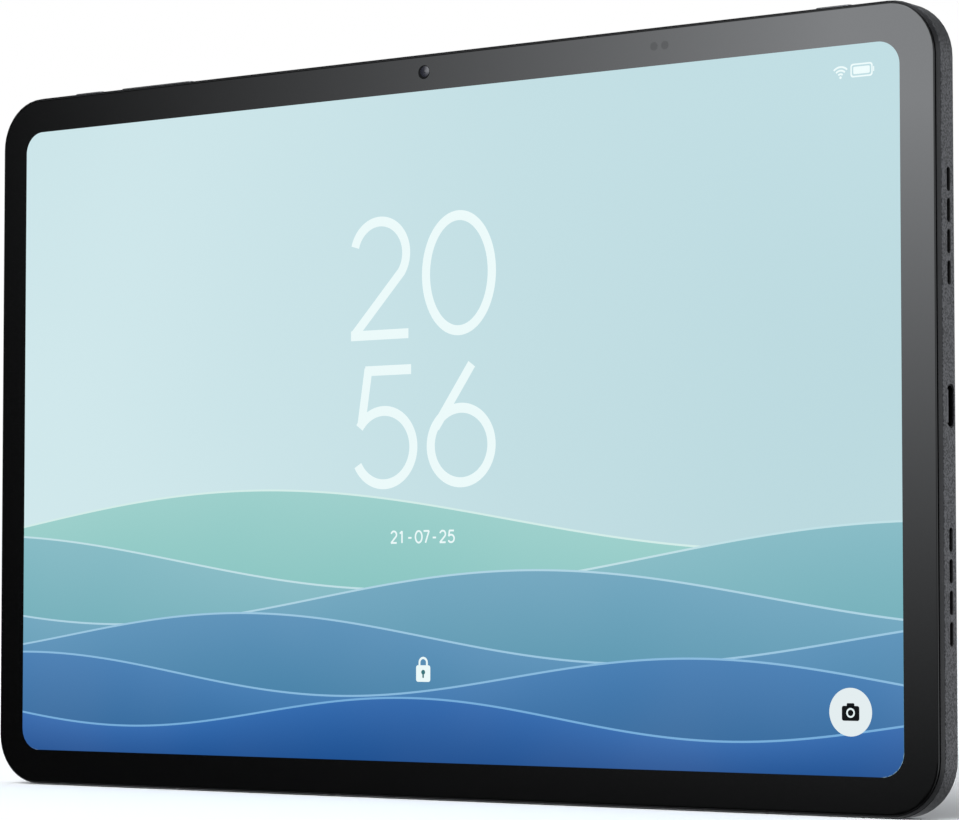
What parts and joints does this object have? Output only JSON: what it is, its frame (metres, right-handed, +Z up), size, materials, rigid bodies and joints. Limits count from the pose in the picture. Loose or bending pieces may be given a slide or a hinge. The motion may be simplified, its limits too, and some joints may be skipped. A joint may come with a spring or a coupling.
{
  "type": "tablet computer",
  "caption": "Landscape tablet computer with a flat metal back cover, rolled mid frame, glass front, side speaker slots, charging socket and sprung keys on the top edge.",
  "frame": {"origin": "bottom centre of the box around the whole tablet as it stands on its long edge, camera bump and keys included", "axes": "+X to the right along the width as seen from the front, +Y from the screen towards the back, +Z up to the edge with the keys"},
  "size_m": [0.2532, 0.0086, 0.1652],
  "materials": {
    "anodised_aluminium": "bead blasted and anodised dark grey, satin",
    "frame_polymer": "smooth satin dark grey",
    "cover_glass": "polished cover glass",
    "key_metal": "anodised dark grey, satin",
    "clear_film": "clear touch sensor film",
    "display_cell": "display panel",
    "light_guide": "white light guide and films",
    "sheet_steel": "thin stamped steel",
    "black_tape": "black adhesive tape",
    "plate_alloy": "pressed light alloy plate",
    "switch_body": "moulded black housing",
    "flex_film": "amber polyimide flex",
    "socket_steel": "drawn steel shell",
    "socket_polymer": "dark moulded tongue",
    "circuit_board": "dark green solder mask",
    "chip_resin": "black moulded resin",
    "graphite": "graphite sheet",
    "battery_pouch": "wrapped pouch cell",
    "speaker_box": "moulded black box",
    "dust_mesh": "fine black mesh",
    "camera_body": "black camera module",
    "lens_glass": "coated lens glass",
    "polished_ring": "turned and polished trim",
    "flash_lens": "translucent lens",
    "antenna_carrier": "moulded antenna carrier",
    "screw_steel": "plain steel screws"
  },
  "bodies": {
    "tablet": {"antenna_left": "antenna_carrier", "antenna_right": "antenna_carrier", "backlight": "light_guide", "backlight_tray": "sheet_steel", "battery_board": "circuit_board", "battery_cell_left": "battery_pouch", "battery_cell_right": "battery_pouch", "battery_flex": "flex_film", "battery_tape": "black_tape", "board_screws": "screw_steel", "bracket_screws": "screw_steel", "camera_deck": "anodised_aluminium", "camera_ring": "polished_ring", "camera_window": "lens_glass", "chassis_plate": "plate_alloy", "display_cell": "display_cell", "display_connector": "chip_resin", "display_flex": "flex_film", "flash_lamp": "chip_resin", "flash_lens": "flash_lens", "front_camera": "camera_body", "front_camera_lens": "lens_glass", "front_glass": "cover_glass", "glass_tape": "black_tape", "heat_sheet": "graphite", "key_flexes": "flex_film", "left_key_bracket": "sheet_steel", "light_sensor": "chip_resin", "main_board": "circuit_board", "memory_chips": "chip_resin", "microphones": "switch_body", "mid_frame": "frame_polymer", "power_switch": "switch_body", "processor": "chip_resin", "processor_shield": "sheet_steel", "radio_chip": "chip_resin", "radio_shield": "sheet_steel", "rear_camera": "camera_body", "rear_camera_lens": "lens_glass", "rear_cover": "anodised_aluminium", "right_key_bracket": "sheet_steel", "shortcut_switch": "switch_body", "socket_board": "circuit_board", "socket_flex": "flex_film", "speaker_flex": "flex_film", "speaker_lower_left": "speaker_box", "speaker_lower_right": "speaker_box", "speaker_meshes": "dust_mesh", "speaker_upper_left": "speaker_box", "speaker_upper_right": "speaker_box", "touch_film": "clear_film", "usb_c_shell": "socket_steel", "usb_c_tongue": "socket_polymer", "volume_switches": "switch_body"},
    "power_button": {"power_button": "key_metal"},
    "volume_rocker": {"volume_rocker": "key_metal"},
    "shortcut_key": {"shortcut_key": "key_metal"}
  },
  "joints": [
    {"name": "power_press", "type": "slide", "parent": "tablet", "child": "power_button", "axis": [0, 0, -1], "range_m": [0, 0.0003], "stiffness_N_per_m": 4000},
    {"name": "volume_rock", "type": "hinge", "parent": "tablet", "child": "volume_rocker", "pos_m": [-0.081, 0.0005, 0.1629], "axis": [0, 1, 0], "range_deg": [-1.6, 1.6], "stiffness_Nm_per_rad": 0.5},
    {"name": "shortcut_press", "type": "slide", "parent": "tablet", "child": "shortcut_key", "axis": [0, 0, -1], "range_m": [0, 0.0003], "stiffness_N_per_m": 4000}
  ]
}
